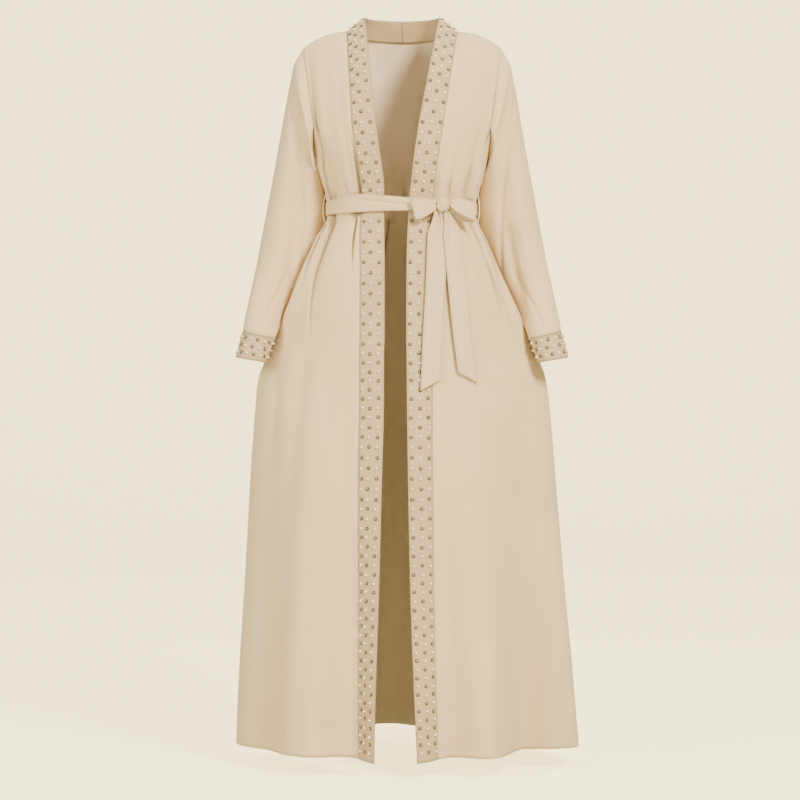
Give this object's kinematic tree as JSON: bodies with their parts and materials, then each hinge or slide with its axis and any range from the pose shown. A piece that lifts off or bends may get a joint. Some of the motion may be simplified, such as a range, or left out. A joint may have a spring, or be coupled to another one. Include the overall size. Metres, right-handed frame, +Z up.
{
  "type": "abaya cloak",
  "caption": "Open-front, floor-length worn abaya cloak in sand crepe, with long sleeves, bead-studded front bands and cuffs, and a sash tied in a bow at the waist.",
  "frame": {"origin": "midway between the two points where the shoulder seams meet the neck band, where the wearer's shoulders carry the cloak", "axes": "+Z up, the wearer faces -Y, +X to the wearer's left"},
  "size_m": [0.6827, 0.487, 1.4612],
  "materials": {
    "crepe": "matt crepe weave with a faint sheen",
    "trim": "matt crepe, doubled and interfaced",
    "sash": "matt crepe, soft and creased",
    "thread": "twisted thread"
  },
  "bodies": {
    "root": {"back": "crepe", "front_left": "crepe", "front_right": "crepe", "sleeve_left": "crepe", "sleeve_right": "crepe", "band_left": "trim", "band_right": "trim", "cuff_left": "trim", "cuff_right": "trim", "sash": "sash", "bow_knot": "sash", "bow_loop_left": "sash", "bow_loop_right": "sash", "sash_tail_left": "sash", "sash_tail_right": "sash", "carrier_left": "thread", "carrier_right": "thread"}
  },
  "joints": []
}
